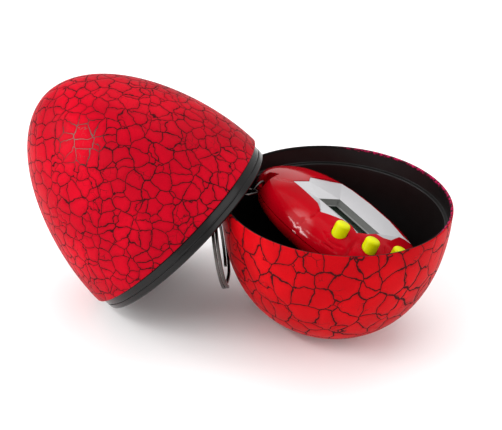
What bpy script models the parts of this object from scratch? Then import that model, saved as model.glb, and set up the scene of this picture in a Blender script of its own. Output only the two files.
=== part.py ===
"""Virtual pet keychain: a two-part surprise egg with a virtual pet inside it.

The bowl stands on a small flat at its bottom, the cap leans beside it on the
floor, and the pet lies face up in the bowl. A short chain runs from the pet
over the bowl's rim to a split ring that hangs outside.

Frame: metres, +Z up, origin at the middle of the bowl's flat bottom.
"""
import math

import bmesh
import bpy
from mathutils import Matrix, Vector

MM = 0.001

# ---- driving dimensions ------------------------------------------------------
GAP = 0.3 * MM                     # clearance between touching pieces

EGG_RADIUS = 33.0 * MM
TURN_STEPS = 44                    # facets round the egg

BOWL_RIM_Z = 41.3 * MM
BOWL_DEPTH = 41.6 * MM             # a little more than the rim's height: leaves the flat
BOWL_WALL = 1.9 * MM
BOWL_POWERS = (2.37, 2.25)         # roundness of the bowl's profile across and down
SEAT_Z = 35.9 * MM                 # step inside the mouth that the collar rests on
MOUTH_RADIUS = 32.15 * MM

CAP_HEIGHT = 52.5 * MM
CAP_WALL = 1.3 * MM
CAP_POWERS = (1.95, 1.69)
CAP_AZIMUTH = math.radians(170.7)  # direction in which the cap lies from the bowl
CAP_DISTANCE = 47.3 * MM           # from the bowl's axis to the centre of the cap's edge
CAP_EDGE_Z = 26.9 * MM
CAP_LEAN = math.radians(47.57)     # from upright
CAP_PIVOT_S = -6.0 * MM            # swing axis, seen along it: out from the bowl's axis
CAP_PIVOT_Z = -13.7 * MM

COLLAR_OUTER = 31.85 * MM
COLLAR_INNER = 30.0 * MM
COLLAR_SHOWN = 4.6 * MM            # length that stands out of the cap
COLLAR_HELD = 6.0 * MM             # length pressed into the cap

PET_CENTRE = Vector((1.24, 1.88, 29.74)) * MM
PET_LONG = Vector((0.616, -0.770, -0.167))    # direction of the pet's long axis
PET_FACE = Vector((0.365, 0.091, 0.926))      # direction that the screen faces
PET_HALF = Vector((29.4, 21.6)) * MM          # half length, half width at the buttons
PET_FAR_HALF = 18.8 * MM                      # half width on the other side
PET_FRONT = 8.5 * MM
PET_BACK = 8.0 * MM
PET_WALL = 1.5 * MM
PLAN_POWER = 2.3
FRONT_POWER = 2.6
BACK_POWER = 2.1
PET_STEPS = 40

SOLID_END_X = -15.6 * MM           # the shells are solid beyond this, for the lug
LUG_HOLE = Vector((-20.3, -14.2, 0.0)) * MM
LUG_HOLE_RADIUS = 1.2 * MM
LUG_HALF = 1.15 * MM               # half the lug's thickness
LUG_AIM = Vector((0.2, -0.98))     # direction in which the chain leaves the lug
LUG_END = 2.9 * MM                 # from the hole's centre to the lug's free end
LUG_POCKET = (-2.0 * MM, 9.0 * MM, 1.6 * MM)  # start, end and half width along that way

SCREEN = Vector((2.9, -2.2)) * MM             # centre of the screen on the face
WINDOW = Vector((18.0, 9.3)) * MM
LIP_Z = 6.2 * MM
PLATE_BOTTOM_Z = 5.7 * MM
FRAME_OUTER = Vector((21.4, 12.9)) * MM
FACE_OUTLINE = (                   # torn-eggshell outline of the white plate, in mm
    (-13.6, -11.5), (-12.7, -6.0), (-15.2, -3.1), (-14.2, 10.9), (-10.7, 12.2),
    (-2.2, 12.4), (6.2, 12.4), (14.3, 10.6), (16.6, 11.9), (15.1, 7.2),
    (17.0, 1.2), (16.1, -1.3), (14.3, -2.9), (14.2, -6.7), (13.3, -10.1),
    (9.9, -9.5), (7.1, -10.6), (2.5, -14.5), (-1.4, -12.6))

BUTTONS = (("button_left", 11.8, -15.4), ("button_middle", 19.5, -10.4),
           ("button_right", 24.2, -3.2))      # positions in mm
BUTTON_RADIUS = 2.1 * MM
BUTTON_TOP_Z = 9.6 * MM
BUTTON_FOOT = (2.8 * MM, 3.5 * MM, 2.5 * MM)  # bottom, top and radius of the flange
BUTTON_FOOT_SHIFT = 1.1 * MM                  # flange's offset towards the middle
PAD_DOME_TOP = 1.6 * MM

BOARD_TOP = -0.4 * MM
BOARD_BOTTOM = -1.2 * MM
BOARD_INSET = 4.0 * MM             # from the pet's outline to the board's edge
CASE_SCREWS = ((-14.5, 9.8), (-13.0, -13.0), (16.8, 9.2), (-2.5, -15.5))     # in mm
SCREW_SHANK = 0.8 * MM
SCREW_HOLE = 1.15 * MM
SCREW_HEAD = 1.75 * MM
HEAD_RECESS = 2.1 * MM
HEAD_SEAT_Z = -3.6 * MM
CELL = (5.8 * MM, 3.1 * MM)        # radius and thickness of a button cell
CELL_PLACES = ((-6.9, 0.5), (5.3, 0.5))       # in mm
CELL_BOTTOM = -5.3 * MM
DOOR_X = (-13.0 * MM, 16.3 * MM)
DOOR_Y = (-7.0 * MM, 7.0 * MM)
DOOR_CUT_TOP = -5.5 * MM
DOOR_SCREW = (13.4, 0.5)           # in mm

LINK_WIRE = 0.4 * MM               # wire radius
LINK_INNER = 5.9 * MM              # inner length of a link
LINK_WIDTH = 2.6 * MM              # inner width of a link
JUMP_RADIUS = 2.8 * MM             # centreline radius of the jump ring
RIM_LINK_END = Vector((-34.9, -6.0, 42.05)) * MM  # outer end bar of the link on the rim
RIM_LINK_AIM = Vector((-1.0, -0.4, 0.0))
RING_RADIUS = 11.8 * MM            # centreline of the split ring
RING_WIRE = 0.45 * MM
RING_TURN = 0.98 * MM              # spacing of its two turns
RING_TILT = math.radians(11.5)     # its foot leans in under the bowl
RING_AZIMUTH = math.radians(181.0)

# ---- scene and helpers -------------------------------------------------------
RED = (0.55, 0.01, 0.02)
BLACK = (0.01, 0.01, 0.01)


def clear_scene():
    for item in list(bpy.data.objects):
        bpy.data.objects.remove(item, do_unlink=True)


def new_collection(name):
    group = bpy.data.collections.new(name)
    bpy.context.scene.collection.children.link(group)
    return group


def material(name, colour, roughness, metallic=0.0, alpha=1.0):
    made = bpy.data.materials.get(name)
    if made is None:
        made = bpy.data.materials.new(name)
        made.use_nodes = True
        shader = made.node_tree.nodes["Principled BSDF"]
        shader.inputs["Base Color"].default_value = (*colour, 1.0)
        shader.inputs["Roughness"].default_value = roughness
        shader.inputs["Metallic"].default_value = metallic
        shader.inputs["Alpha"].default_value = alpha
    return made


def add_object(name, data, finish, parent=None):
    """Put a mesh or curve in the model's collection under a parent empty."""
    made = bpy.data.objects.new(name, data)
    MODEL.objects.link(made)
    made.parent = parent
    data.materials.append(finish)
    return made


def add_cutter(name, data, parent=None):
    made = bpy.data.objects.new(name, data)
    CUTTERS.objects.link(made)
    made.parent = parent
    made.display_type = "WIRE"
    made.hide_render = True
    return made


def add_empty(name, matrix):
    made = bpy.data.objects.new(name, None)
    MODEL.objects.link(made)
    made.matrix_world = matrix
    return made


def finish_mesh(bm, name):
    mesh = bpy.data.meshes.new(name)
    bmesh.ops.recalc_face_normals(bm, faces=bm.faces)
    bm.to_mesh(mesh)
    bm.free()
    mesh.shade_smooth()
    mesh.set_sharp_from_angle(angle=math.radians(35.0))
    return mesh


def combine(target, tool, operation):
    step = target.modifiers.new(operation.lower() + "_" + tool.name, "BOOLEAN")
    step.operation = operation
    step.object = tool
    step.solver = "EXACT"


def turned(name, profile, finish, parent=None, steps=TURN_STEPS):
    """A turned piece: a profile of (radius, z) points swept round Z."""
    mesh = bpy.data.meshes.new(name)
    closed = profile[0][0] > 0.0
    count = len(profile)
    edges = [(i, i + 1) for i in range(count - 1)]
    if closed:
        edges.append((count - 1, 0))
    mesh.from_pydata([(r, 0.0, z) for r, z in profile], edges, [])
    made = add_object(name, mesh, finish, parent)
    screw = made.modifiers.new("turn", "SCREW")
    screw.steps = steps
    screw.render_steps = steps
    screw.use_merge_vertices = True
    screw.merge_threshold = 0.00001
    screw.use_smooth_shade = True
    return made


def cylinder(radius, low, high, place=(0.0, 0.0), steps=20):
    bm = bmesh.new()
    bmesh.ops.create_cone(bm, cap_ends=True, segments=steps, radius1=radius,
                          radius2=radius, depth=high - low)
    bmesh.ops.translate(bm, verts=bm.verts, vec=(place[0], place[1], (low + high) / 2))
    return finish_mesh(bm, "cylinder")


def box(low, high):
    bm = bmesh.new()
    bmesh.ops.create_cube(bm, size=1.0)
    size = Vector(high) - Vector(low)
    middle = (Vector(high) + Vector(low)) / 2
    bmesh.ops.scale(bm, verts=bm.verts, vec=size)
    bmesh.ops.translate(bm, verts=bm.verts, vec=middle)
    return finish_mesh(bm, "box")


def signed_power(value, power):
    return math.copysign(abs(value) ** power, value)


def half_width(y):
    return PET_FAR_HALF if y > 0.0 else PET_HALF.y


def pet_solid(inset, front, height, power, keep_x=None):
    """One half of the pet's rounded body, inset from its outer surface."""
    half_x = PET_HALF.x - inset
    bm = bmesh.new()
    bmesh.ops.create_uvsphere(bm, u_segments=PET_STEPS, v_segments=16, radius=1.0)
    for vert in bm.verts:
        lift = signed_power(max(-1.0, min(1.0, vert.co.z)), 2.0 / power)
        flat = math.hypot(vert.co.x, vert.co.y)
        spread = flat ** (2.0 / power)
        angle = math.atan2(vert.co.y, vert.co.x)
        half_y = half_width(vert.co.y) - inset
        vert.co.x = half_x * spread * signed_power(math.cos(angle), 2.0 / PLAN_POWER)
        vert.co.y = half_y * spread * signed_power(math.sin(angle), 2.0 / PLAN_POWER)
        vert.co.z = (height - inset) * lift
    side = 1.0 if front else -1.0
    if inset == 0.0:
        cut_plane(bm, (0.0, 0.0, side * GAP / 2), (0.0, 0.0, -side))
    if keep_x is not None:
        cut_plane(bm, (keep_x, 0.0, 0.0), (-1.0, 0.0, 0.0))
    return finish_mesh(bm, "pet_solid")


def cut_plane(bm, point, away):
    """Drop what lies on the side of the plane that away points to, and close it."""
    parts = list(bm.verts) + list(bm.edges) + list(bm.faces)
    bmesh.ops.bisect_plane(bm, geom=parts, dist=1e-7, plane_co=point, plane_no=away,
                           clear_outer=True)
    bmesh.ops.holes_fill(bm, edges=bm.edges, sides=0)


def dome_height(x, y):
    """Height of the front shell's outer surface above the seam."""
    across = (abs(x) / PET_HALF.x) ** PLAN_POWER + (abs(y) / half_width(y)) ** PLAN_POWER
    rho = across ** (1.0 / PLAN_POWER)
    return PET_FRONT * max(0.0, 1.0 - rho ** FRONT_POWER) ** (1.0 / FRONT_POWER)


def outline_mesh(loops, low, high):
    """A flat plate from closed outlines; the second and later ones are holes."""
    curve = bpy.data.curves.new("outline", "CURVE")
    curve.dimensions = "2D"
    curve.fill_mode = "BOTH"
    curve.extrude = (high - low) / 2
    for loop in loops:
        spline = curve.splines.new("POLY")
        spline.points.add(len(loop) - 1)
        for point, (x, y) in zip(spline.points, loop):
            point.co = (x, y, 0.0, 1.0)
        spline.use_cyclic_u = True
    holder = bpy.data.objects.new("outline", curve)
    CUTTERS.objects.link(holder)
    bpy.context.view_layer.update()
    mesh = bpy.data.meshes.new_from_object(
        holder.evaluated_get(bpy.context.evaluated_depsgraph_get()))
    bpy.data.objects.remove(holder)
    bm = bmesh.new()
    bm.from_mesh(mesh)
    bmesh.ops.remove_doubles(bm, verts=bm.verts, dist=0.000001)
    bmesh.ops.translate(bm, verts=bm.verts, vec=(0.0, 0.0, (low + high) / 2))
    return bm


def grown(loop, distance):
    """Move an outline's edges outwards by a distance; loops run either way."""
    area = sum(a[0] * b[1] - b[0] * a[1] for a, b in zip(loop, loop[1:] + loop[:1]))
    turn = 1.0 if area > 0 else -1.0
    moved = []
    for before, here, after in zip(loop[-1:] + loop[:-1], loop, loop[1:] + loop[:1]):
        first = (Vector(here) - Vector(before)).normalized()
        second = (Vector(after) - Vector(here)).normalized()
        normal_a = Vector((first.y, -first.x)) * turn
        normal_b = Vector((second.y, -second.x)) * turn
        corner = (normal_a + normal_b).normalized()
        stretch = distance / max(0.45, corner.dot(normal_a))
        moved.append((here[0] + corner.x * stretch, here[1] + corner.y * stretch))
    return moved


def wire_object(name, points, radius, finish, parent, closed):
    curve = bpy.data.curves.new(name, "CURVE")
    curve.dimensions = "3D"
    curve.bevel_depth = radius
    curve.bevel_resolution = 2
    curve.use_fill_caps = not closed
    curve.twist_mode = "MINIMUM"
    spline = curve.splines.new("POLY")
    spline.points.add(len(points) - 1)
    for point, place in zip(spline.points, points):
        point.co = (*place, 1.0)
    spline.use_cyclic_u = closed
    return add_object(name, curve, finish, parent)


def frame_matrix(origin, along, normal):
    """Axes: X runs along, Z is as near to the normal as a right angle allows."""
    x_axis = Vector(along).normalized()
    y_axis = Vector(normal).cross(x_axis).normalized()
    z_axis = x_axis.cross(y_axis)
    turn = Matrix((x_axis, y_axis, z_axis)).transposed().to_4x4()
    return Matrix.Translation(origin) @ turn


# ---- the egg -----------------------------------------------------------------
def oval_profile(radius, depth, powers, start, end, count):
    """Points of a rounded profile; the angle is 0 at the edge and 90 at the tip."""
    points = []
    for i in range(count):
        angle = math.radians(start + (end - start) * i / (count - 1))
        points.append((radius * math.cos(angle) ** (2.0 / powers[0]),
                       depth * math.sin(angle) ** (2.0 / powers[1])))
    return points


def oval_radius(radius, depth, powers, below):
    return radius * (1.0 - (below / depth) ** powers[1]) ** (1.0 / powers[0])


def make_bowl():
    shell = material("egg_red", RED, 0.35)
    inner_radius = EGG_RADIUS - BOWL_WALL
    inner_depth = BOWL_DEPTH - BOWL_WALL
    inside = oval_profile(inner_radius, inner_depth, BOWL_POWERS, 90.0, 12.0, 10)
    profile = [(0.0, BOWL_RIM_Z - inner_depth)]
    profile += [(r, BOWL_RIM_Z - d) for r, d in inside[1:]]
    seat_radius = oval_radius(inner_radius, inner_depth, BOWL_POWERS, BOWL_RIM_Z - SEAT_Z)
    profile += [(seat_radius, SEAT_Z), (MOUTH_RADIUS, SEAT_Z)]
    profile += [(MOUTH_RADIUS, BOWL_RIM_Z - GAP), (MOUTH_RADIUS + GAP, BOWL_RIM_Z)]
    profile += [(EGG_RADIUS - GAP, BOWL_RIM_Z)]
    outside = oval_profile(EGG_RADIUS, BOWL_DEPTH, BOWL_POWERS, 1.0, 80.0, 12)
    profile += [(r, BOWL_RIM_Z - d) for r, d in outside if d < BOWL_RIM_Z]
    flat_radius = oval_radius(EGG_RADIUS, BOWL_DEPTH, BOWL_POWERS, BOWL_RIM_Z)
    profile += [(flat_radius, 0.0), (0.0, 0.0)]
    turned("egg_bowl", profile, shell)


def make_ballast():
    steel = material("ballast_steel", (0.35, 0.34, 0.33), 0.5, 1.0)
    plastic = material("ballast_cover_black", BLACK, 0.4)
    turned("ballast_weight", [(0.0, 7.6 * MM), (16.9 * MM, 7.6 * MM), (17.0 * MM, 7.0 * MM),
                              (13.8 * MM, 5.1 * MM), (6.8 * MM, 2.6 * MM),
                              (0.0, 2.5 * MM)], steel, steps=28)
    turned("ballast_cover", [(0.0, 9.1 * MM), (17.6 * MM, 9.1 * MM), (18.2 * MM, 8.6 * MM),
                             (18.0 * MM, 7.9 * MM), (0.0, 7.9 * MM)], plastic, steps=28)


def cap_matrix():
    outwards = Vector((math.cos(CAP_AZIMUTH), math.sin(CAP_AZIMUTH), 0.0))
    centre = outwards * CAP_DISTANCE + Vector((0.0, 0.0, CAP_EDGE_Z))
    lean = Matrix.Rotation(CAP_LEAN, 4, Vector((0.0, 0.0, 1.0)).cross(outwards))
    return Matrix.Translation(centre) @ lean


def cap_pivot():
    outwards = Vector((math.cos(CAP_AZIMUTH), math.sin(CAP_AZIMUTH), 0.0))
    return outwards * CAP_PIVOT_S + Vector((0.0, 0.0, CAP_PIVOT_Z))


def make_cap():
    pivot = add_empty("cap_pivot", Matrix.Translation(cap_pivot()))
    shell = material("egg_red", RED, 0.35)
    outside = oval_profile(EGG_RADIUS, CAP_HEIGHT, CAP_POWERS, 90.0, 0.0, 12)
    inside = oval_profile(EGG_RADIUS - CAP_WALL, CAP_HEIGHT - CAP_WALL, CAP_POWERS, 0.0, 90.0, 11)
    profile = [(0.0, CAP_HEIGHT)] + outside[1:] + inside[:-1] + [(0.0, CAP_HEIGHT - CAP_WALL)]
    cap = turned("egg_cap", profile, shell, pivot)
    black = material("collar_black", BLACK, 0.25)
    outer = COLLAR_OUTER
    inner = COLLAR_INNER
    held = EGG_RADIUS - CAP_WALL - GAP
    collar = turned("cap_collar", [
        (held - 0.6 * MM, COLLAR_HELD), (held, GAP), (held, -GAP), (outer, -GAP),
        (outer, -2.3 * MM), (outer - 0.3 * MM, -2.5 * MM), (outer - 0.3 * MM, -2.9 * MM),
        (outer, -3.1 * MM), (outer - 0.15 * MM, -4.1 * MM),
        (outer - 0.6 * MM, -COLLAR_SHOWN), (inner + 0.4 * MM, -COLLAR_SHOWN),
        (inner, -4.2 * MM), (inner - 0.1 * MM, COLLAR_HELD)], black, pivot)
    for piece in (cap, collar):
        piece.matrix_local = pivot.matrix_world.inverted() @ cap_matrix()


# ---- the pet -----------------------------------------------------------------
def cut_with(target, mesh, name, parent, operation="DIFFERENCE"):
    combine(target, add_cutter(name, mesh, parent), operation)


def make_cavity(name, front, pet):
    """The hollow of a shell, with the screw posts and the door's shelf left in."""
    height = PET_FRONT if front else PET_BACK
    power = FRONT_POWER if front else BACK_POWER
    cavity = add_cutter(name, pet_solid(PET_WALL, front, height, power, SOLID_END_X), pet)
    post = 2.3 * MM if front else 2.9 * MM
    low, high = (GAP / 2, 12.0 * MM) if front else (-12.0 * MM, -GAP / 2)
    for i, (x, y) in enumerate(CASE_SCREWS):
        mesh = cylinder(post, low, high, (x * MM, y * MM))
        cut_with(cavity, mesh, name + "_post_" + str(i + 1), pet)
    if not front:
        shelf = box((11.6 * MM, -2.7 * MM, -5.2 * MM), (26.0 * MM, 3.7 * MM, -3.4 * MM))
        cut_with(cavity, shelf, name + "_shelf", pet)
    return cavity


def make_front_shell(pet):
    gloss = material("pet_red", (0.45, 0.0, 0.01), 0.12)
    solid = pet_solid(0.0, True, PET_FRONT, FRONT_POWER)
    shell = add_object("front_shell", solid, gloss, pet)
    combine(shell, make_cavity("front_cavity", True, pet), "DIFFERENCE")
    outline = [(x * MM, y * MM) for x, y in FACE_OUTLINE]
    opening = finish_mesh(outline_mesh([grown(outline, GAP)], 5.0 * MM, 14.0 * MM), "opening")
    cut_with(shell, opening, "face_opening", pet)
    for name, x, y in BUTTONS:
        hole = cylinder(BUTTON_RADIUS + GAP, 3.0 * MM, 14.0 * MM, (x * MM, y * MM))
        cut_with(shell, hole, name + "_hole", pet)
    for i, (x, y) in enumerate(CASE_SCREWS):
        hole = cylinder(SCREW_HOLE, -1.0 * MM, 5.0 * MM, (x * MM, y * MM), 12)
        cut_with(shell, hole, "front_screw_hole_" + str(i + 1), pet)
    cut_lug(shell, "front_lug", 1.0, pet)


def cut_lug(shell, name, side, pet):
    """A pocket that leaves a thin lug at the seam, and the lug's hole."""
    outward = LUG_AIM.normalized()
    sideways = Vector((-outward.y, outward.x))
    levels = ((LUG_POCKET[0], LUG_POCKET[2], LUG_HALF, "_pocket"),
              (LUG_END, LUG_POCKET[2] + 0.2 * MM, -MM, "_notch"))
    for begin, half, level, label in levels:
        across = sideways * half
        near = LUG_HOLE.xy + outward * begin
        far = LUG_HOLE.xy + outward * (LUG_POCKET[1] + half)
        loop = [tuple(near + across), tuple(near - across), tuple(far - across),
                tuple(far + across)]
        low, high = sorted((side * level, side * 14.0 * MM))
        room = finish_mesh(outline_mesh([loop], low, high), "room")
        cut_with(shell, room, name + label, pet)
    hole = cylinder(LUG_HOLE_RADIUS, -3.0 * MM, 3.0 * MM, (LUG_HOLE.x, LUG_HOLE.y), 16)
    cut_with(shell, hole, name + "_hole", pet)


def make_back_shell(pet):
    gloss = material("pet_red", (0.45, 0.0, 0.01), 0.12)
    solid = pet_solid(0.0, False, PET_BACK, BACK_POWER)
    shell = add_object("back_shell", solid, gloss, pet)
    combine(shell, make_cavity("back_cavity", False, pet), "DIFFERENCE")
    door_way = box((DOOR_X[0], DOOR_Y[0], -14.0 * MM), (DOOR_X[1], DOOR_Y[1], DOOR_CUT_TOP))
    cut_with(shell, door_way, "door_way", pet)
    for i, (x, y) in enumerate(CASE_SCREWS):
        hole = cylinder(SCREW_HOLE, -6.0 * MM, 1.0 * MM, (x * MM, y * MM), 12)
        cut_with(shell, hole, "back_screw_hole_" + str(i + 1), pet)
        recess = cylinder(HEAD_RECESS, -12.0 * MM, HEAD_SEAT_Z, (x * MM, y * MM), 16)
        cut_with(shell, recess, "head_recess_" + str(i + 1), pet)
    shelf_hole = cylinder(SCREW_HOLE, -5.6 * MM, -3.0 * MM,
                          (DOOR_SCREW[0] * MM, DOOR_SCREW[1] * MM), 12)
    cut_with(shell, shelf_hole, "shelf_hole", pet)
    cut_lug(shell, "back_lug", -1.0, pet)


def make_battery_door(pet):
    gloss = material("pet_red", (0.45, 0.0, 0.01), 0.12)
    slab = box((DOOR_X[0] + GAP, DOOR_Y[0] + GAP, -14.0 * MM),
               (DOOR_X[1] - GAP, DOOR_Y[1] - GAP, DOOR_CUT_TOP - GAP))
    door = add_object("battery_door", slab, gloss, pet)
    outer = pet_solid(0.0, False, PET_BACK, BACK_POWER)
    cut_with(door, outer, "door_outer", pet, "INTERSECT")
    inner = pet_solid(PET_WALL, False, PET_BACK, BACK_POWER)
    cut_with(door, inner, "door_inner", pet)
    place = (DOOR_SCREW[0] * MM, DOOR_SCREW[1] * MM)
    cut_with(door, cylinder(SCREW_HOLE, -14.0 * MM, 0.0, place, 12), "door_screw_hole", pet)
    cut_with(door, cylinder(HEAD_RECESS, -14.0 * MM, -6.6 * MM, place, 16), "door_recess", pet)


def make_faceplate(pet):
    white = material("faceplate_white", (0.72, 0.74, 0.72), 0.2)
    outline = [(x * MM, y * MM) for x, y in FACE_OUTLINE]
    half = WINDOW / 2
    window = [(SCREEN.x - half.x, SCREEN.y - half.y), (SCREEN.x + half.x, SCREEN.y - half.y),
              (SCREEN.x + half.x, SCREEN.y + half.y), (SCREEN.x - half.x, SCREEN.y + half.y)]
    bm = outline_mesh([outline, window], PLATE_BOTTOM_Z, LIP_Z)
    for vert in bm.verts:
        on_window = (abs(vert.co.x - SCREEN.x) < half.x + GAP
                     and abs(vert.co.y - SCREEN.y) < half.y + GAP)
        if vert.co.z > LIP_Z - 0.01 * MM and not on_window:
            vert.co.z = max(LIP_Z, dome_height(vert.co.x, vert.co.y) - 0.1 * MM)
    add_object("faceplate", finish_mesh(bm, "faceplate"), white, pet)


def make_screen(pet):
    grey = material("frame_grey", (0.16, 0.17, 0.16), 0.4)
    outer = FRAME_OUTER / 2
    inner = (WINDOW + Vector((0.4, 0.4)) * MM) / 2

    def rectangle(half):
        return [(SCREEN.x - half.x, SCREEN.y - half.y), (SCREEN.x + half.x, SCREEN.y - half.y),
                (SCREEN.x + half.x, SCREEN.y + half.y), (SCREEN.x - half.x, SCREEN.y + half.y)]

    frame = outline_mesh([rectangle(outer), rectangle(inner)], 4.1 * MM, 5.1 * MM)
    add_object("screen_frame", finish_mesh(frame, "screen_frame"), grey, pet)
    clear = material("window_clear", (0.9, 0.95, 0.92), 0.05, 0.0, 0.3)
    low = Vector((SCREEN.x - outer.x, SCREEN.y - outer.y, 3.3 * MM))
    high = Vector((SCREEN.x + outer.x, SCREEN.y + outer.y, 3.8 * MM))
    add_object("screen_window", box(low, high), clear, pet)
    glass = material("lcd_green", (0.06, 0.09, 0.06), 0.15)
    add_object("lcd_panel", box((low.x, low.y, 1.7 * MM), (high.x, high.y, 3.0 * MM)), glass, pet)
    rubber = material("zebra_strip", (0.25, 0.25, 0.27), 0.6)
    add_object("zebra_connector", box((low.x + MM, high.y - 2.2 * MM, BOARD_TOP + GAP),
                                      (high.x - MM, high.y - 0.4 * MM, 1.4 * MM)), rubber, pet)


def make_board(pet):
    green = material("board_green", (0.03, 0.16, 0.05), 0.35)
    outline = []
    for i in range(32):
        angle = 2.0 * math.pi * i / 32
        x = (PET_HALF.x - BOARD_INSET) * signed_power(math.cos(angle), 2 / PLAN_POWER)
        half_y = half_width(math.sin(angle)) - BOARD_INSET
        y = half_y * signed_power(math.sin(angle), 2 / PLAN_POWER)
        outline.append((max(x, SOLID_END_X + 0.4 * MM), y))
    bm = outline_mesh([outline], BOARD_BOTTOM, BOARD_TOP)
    board = add_object("circuit_board", finish_mesh(bm, "circuit_board"), green, pet)
    for i, (x, y) in enumerate(CASE_SCREWS):
        notch = cylinder(3.3 * MM, -3.0 * MM, 2.0 * MM, (x * MM, y * MM), 16)
        cut_with(board, notch, "board_notch_" + str(i + 1), pet)
    blob_black = material("chip_black", BLACK, 0.5)
    bm = bmesh.new()
    bmesh.ops.create_uvsphere(bm, u_segments=16, v_segments=8, radius=3.2 * MM)
    bmesh.ops.scale(bm, verts=bm.verts, vec=(1.0, 1.0, 0.35))
    cut_plane(bm, (0.0, 0.0, 0.0), (0.0, 0.0, 1.0))
    bmesh.ops.translate(bm, verts=bm.verts,
                        vec=(4.0 * MM, -10.6 * MM, BOARD_BOTTOM - GAP))
    add_object("chip_blob", finish_mesh(bm, "chip_blob"), blob_black, pet)
    brass = material("buzzer_brass", (0.6, 0.42, 0.16), 0.35, 1.0)
    buzzer = cylinder(4.6 * MM, BOARD_TOP + GAP, BOARD_TOP + 0.9 * MM, (-10.4 * MM, -3.6 * MM), 24)
    add_object("piezo_buzzer", buzzer, brass, pet)


def inward(x, y, distance):
    """A point moved towards the pet's middle."""
    place = Vector((x, y)) * MM
    return place - place.normalized() * distance


def make_buttons(pet):
    yellow = material("button_yellow", (0.62, 0.6, 0.0), 0.35)
    for name, x, y in BUTTONS:
        low, high, radius = BUTTON_FOOT
        bm = bmesh.new()
        bm.from_mesh(cylinder(BUTTON_RADIUS, high - 0.1 * MM, BUTTON_TOP_Z))
        top = [e for e in bm.edges if all(v.co.z > BUTTON_TOP_Z - 0.01 * MM for v in e.verts)]
        bmesh.ops.bevel(bm, geom=top, offset=0.9 * MM, segments=3, profile=0.5, affect="EDGES")
        button = add_object(name, finish_mesh(bm, name), yellow, pet)
        button.location = (x * MM, y * MM, 0.0)
        foot = inward(x, y, BUTTON_FOOT_SHIFT) - Vector((x, y)) * MM
        cut_with(button, cylinder(radius, low, high, foot), name + "_foot", button, "UNION")
    rubber = material("pad_grey", (0.3, 0.3, 0.3), 0.7)
    places = [inward(x, y, BUTTON_FOOT_SHIFT) for name, x, y in BUTTONS]
    base_low = BOARD_TOP + GAP
    base_high = base_low + 0.8 * MM
    pad = add_object("button_pad", cylinder(2.2 * MM, base_low, base_high, places[0], 16),
                     rubber, pet)
    for i, place in enumerate(places):
        if i > 0:
            disc = cylinder(2.2 * MM, base_low, base_high, place, 16)
            cut_with(pad, disc, "pad_disc_" + str(i), pet, "UNION")
            before = places[i - 1]
            side = (place - before).normalized()
            side = Vector((-side.y, side.x)) * 1.4 * MM
            loop = [tuple(before + side), tuple(before - side), tuple(place - side),
                    tuple(place + side)]
            strip = outline_mesh([loop], base_low + 0.1 * MM, base_high - 0.1 * MM)
            cut_with(pad, finish_mesh(strip, "strip"), "pad_strip_" + str(i), pet, "UNION")
        dome = cylinder(1.5 * MM, base_high - 0.2 * MM, PAD_DOME_TOP, place, 12)
        cut_with(pad, dome, "pad_dome_" + str(i), pet, "UNION")


def make_battery_parts(pet):
    steel = material("cell_steel", (0.7, 0.7, 0.68), 0.3, 1.0)
    nickel = material("contact_nickel", (0.6, 0.58, 0.5), 0.35, 1.0)
    radius, thick = CELL
    for i, (x, y) in enumerate(CELL_PLACES):
        cell = cylinder(radius, CELL_BOTTOM, CELL_BOTTOM + thick, (x * MM, y * MM), 28)
        add_object("battery_" + str(i + 1), cell, steel, pet)
        names = ("battery_contact_positive", "battery_contact_negative")
        low = CELL_BOTTOM + thick + GAP
        plate = box((x * MM - 3.2 * MM, y * MM - 2.0 * MM, low),
                    (x * MM + 3.2 * MM, y * MM + 2.0 * MM, low + 0.3 * MM))
        add_object(names[i], plate, nickel, pet)
    first, second = CELL_PLACES
    bridge = box((first[0] * MM - 0.2 * MM, first[1] * MM - 1.8 * MM, CELL_BOTTOM - 0.6 * MM),
                 (second[0] * MM + 0.2 * MM, first[1] * MM + 1.8 * MM, CELL_BOTTOM - GAP))
    add_object("battery_contact_bridge", bridge, nickel, pet)


def make_screw(name, place, head_low, head_high, tip, pet):
    """A pan-head screw seen from the back: its head is lowest."""
    steel = material("screw_steel", (0.5, 0.5, 0.5), 0.3, 1.0)
    profile = [(0.0, tip), (SCREW_SHANK * 0.5, tip - 0.3 * MM), (SCREW_SHANK, tip - 1.1 * MM),
               (SCREW_SHANK, head_high), (SCREW_HEAD, head_high),
               (SCREW_HEAD, head_low + 0.25 * MM), (SCREW_HEAD - 0.4 * MM, head_low),
               (0.0, head_low)]
    screw = turned(name, profile, steel, pet, steps=14)
    screw.location = (place[0] * MM, place[1] * MM, 0.0)
    return screw


def make_screws(pet):
    for i, place in enumerate(CASE_SCREWS):
        seat = HEAD_SEAT_Z - GAP
        make_screw("case_screw_" + str(i + 1), place, seat - 1.0 * MM, seat, 4.6 * MM, pet)
    make_screw("battery_door_screw", DOOR_SCREW, -7.5 * MM, -6.9 * MM, -3.1 * MM, pet)


def make_pet():
    pet = add_empty("pet_pose", frame_matrix(PET_CENTRE, PET_LONG, PET_FACE))
    make_front_shell(pet)
    make_back_shell(pet)
    make_battery_door(pet)
    make_faceplate(pet)
    make_screen(pet)
    make_board(pet)
    make_buttons(pet)
    make_battery_parts(pet)
    make_screws(pet)
    return pet


# ---- chain and split ring ----------------------------------------------------
def link_points(inner_length, inner_width, wire, count=16):
    """Centreline of an oval link, running along X from its first end at the origin."""
    bend = inner_width / 2 + wire
    straight = inner_length / 2 + wire - bend
    points = []
    for i in range(count):
        angle = 2.0 * math.pi * (i + 0.5) / count
        x = bend * math.cos(angle) + math.copysign(straight, math.cos(angle))
        points.append((x + straight + bend, bend * math.sin(angle), 0.0))
    return points


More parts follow.
